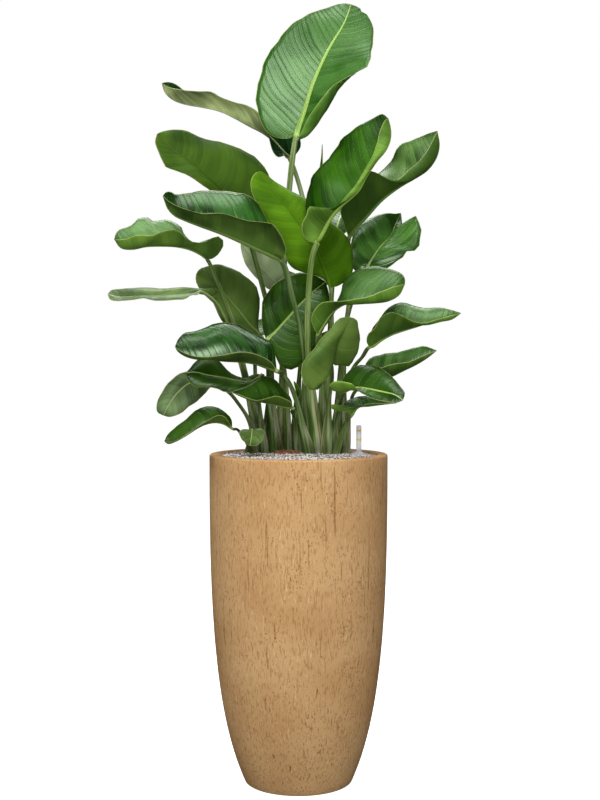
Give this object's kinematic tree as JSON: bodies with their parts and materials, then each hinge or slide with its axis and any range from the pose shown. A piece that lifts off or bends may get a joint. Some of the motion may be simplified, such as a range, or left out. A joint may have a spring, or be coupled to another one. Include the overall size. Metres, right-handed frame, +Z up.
{
  "type": "potted plant",
  "caption": "Giant bird of paradise plant: large paddle-shaped leaves on long stalks, rising from pale granulate in a tall tapered cement-look vase with a water level gauge.",
  "frame": {"origin": "centre of the vase's flat underside, on the floor", "axes": "+Z up along the vase's axis; -Y is the front, with +X to the right seen from the front"},
  "size_m": [0.8376, 0.736, 1.9116],
  "materials": {
    "vase": "matte ochre mineral composite, cement look",
    "granulate": "loose pale and grey stone grains",
    "coir": "rough brown coir and bark chips",
    "gauge_cap": "pale moulded plastic",
    "gauge_clear": "clear plastic tube",
    "gauge_red": "red moulded plastic",
    "leaf": "semi-gloss living leaf, mid green",
    "leaf_dark": "glossy living leaf, dark green",
    "leaf_bright": "satin living leaf, bright yellow-green",
    "leaf_pale": "matt living leaf, pale grey-green"
  },
  "bodies": {
    "root": {"vase": "vase", "granulate": "granulate", "coir_mound": "coir", "gauge_base": "gauge_cap", "gauge_tube": "gauge_clear", "gauge_float": "gauge_red", "leaf_crown": "leaf_dark", "leaf_upper_left": "leaf", "leaf_left_high": "leaf", "leaf_left_gutter": "leaf_dark", "leaf_centre_bright": "leaf_bright", "leaf_right_raised": "leaf", "leaf_upper_right": "leaf_dark", "leaf_right_back": "leaf_dark", "leaf_right_folded": "leaf", "leaf_right_long": "leaf", "leaf_right_low": "leaf", "leaf_front_right": "leaf_dark", "leaf_front_right_small": "leaf", "leaf_front_twisted": "leaf", "leaf_centre_dark": "leaf_dark", "leaf_left_round": "leaf", "leaf_left_curly": "leaf", "leaf_left_flat": "leaf", "leaf_front_left_glossy": "leaf_dark", "leaf_front_left_low": "leaf_dark", "leaf_front_dark": "leaf_dark", "leaf_left_pale": "leaf_pale", "leaf_left_drooping": "leaf", "leaf_left_hanging": "leaf", "spear": "leaf_bright", "leaf_back_pale": "leaf_pale", "leaf_rolled": "leaf", "leaf_rear_middle": "leaf", "leaf_rear_right": "leaf", "leaf_rear_left": "leaf", "leaf_rear_low": "leaf", "leaf_rear_high": "leaf"}
  },
  "joints": []
}
